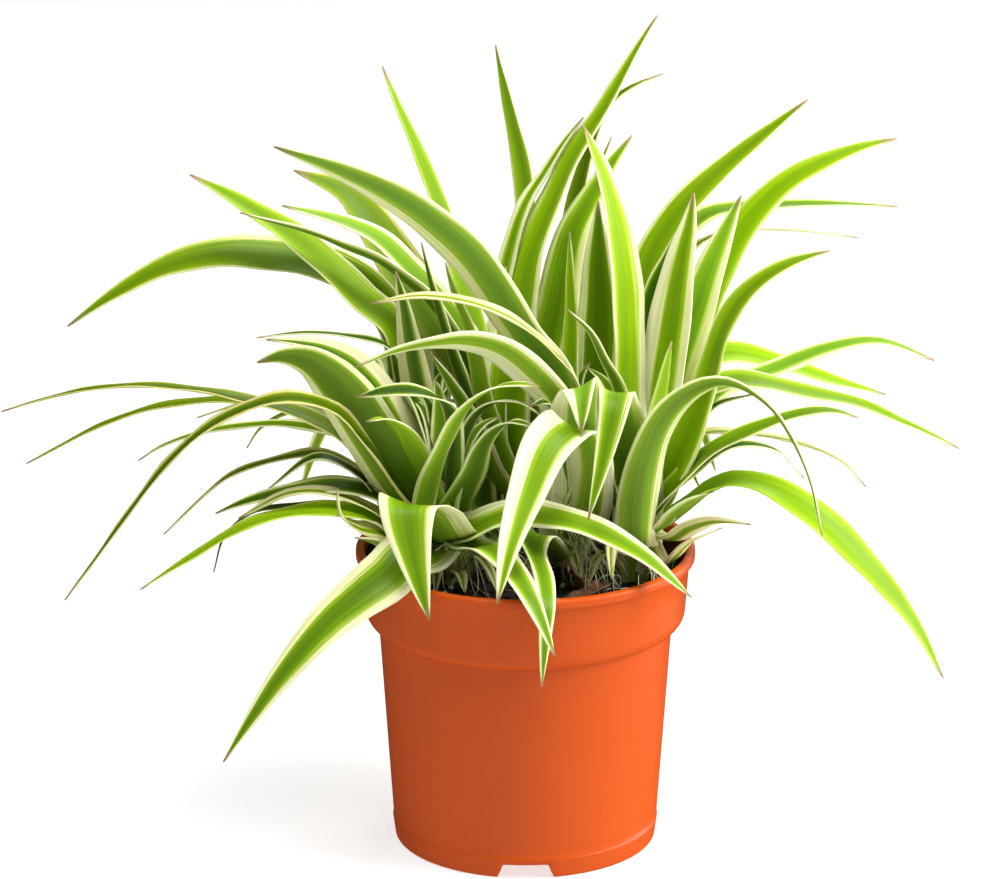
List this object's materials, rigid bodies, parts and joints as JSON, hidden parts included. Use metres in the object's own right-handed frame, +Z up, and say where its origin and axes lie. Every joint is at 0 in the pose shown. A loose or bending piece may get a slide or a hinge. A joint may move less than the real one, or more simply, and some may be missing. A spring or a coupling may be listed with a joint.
{
  "type": "potted spider plant",
  "caption": "Variegated spider plant in a round plastic nursery pot: tufts of long arching striped leaves growing from dark soil.",
  "frame": {"origin": "middle of the pot's flat base, on the surface it stands on", "axes": "+Z up along the pot's axis, +X to the viewer's right and +Y away from the viewer in the picture's view"},
  "size_m": [0.3372, 0.2242, 0.2867],
  "materials": {
    "pot_plastic": "semi-matte injection-moulded polypropylene",
    "soil": "damp crumbly compost",
    "leaf": "satin living leaf, green with cream margins",
    "dried_leaf": "dry brown leaf base"
  },
  "bodies": {
    "root": {"pot": "pot_plastic", "soil": "soil", "crown_left": "leaf", "crown_right": "leaf", "crown_centre": "leaf", "crown_leftBack": "leaf", "crown_back": "leaf", "crown_rightBack": "leaf", "dried_leaf": "dried_leaf"}
  },
  "joints": []
}
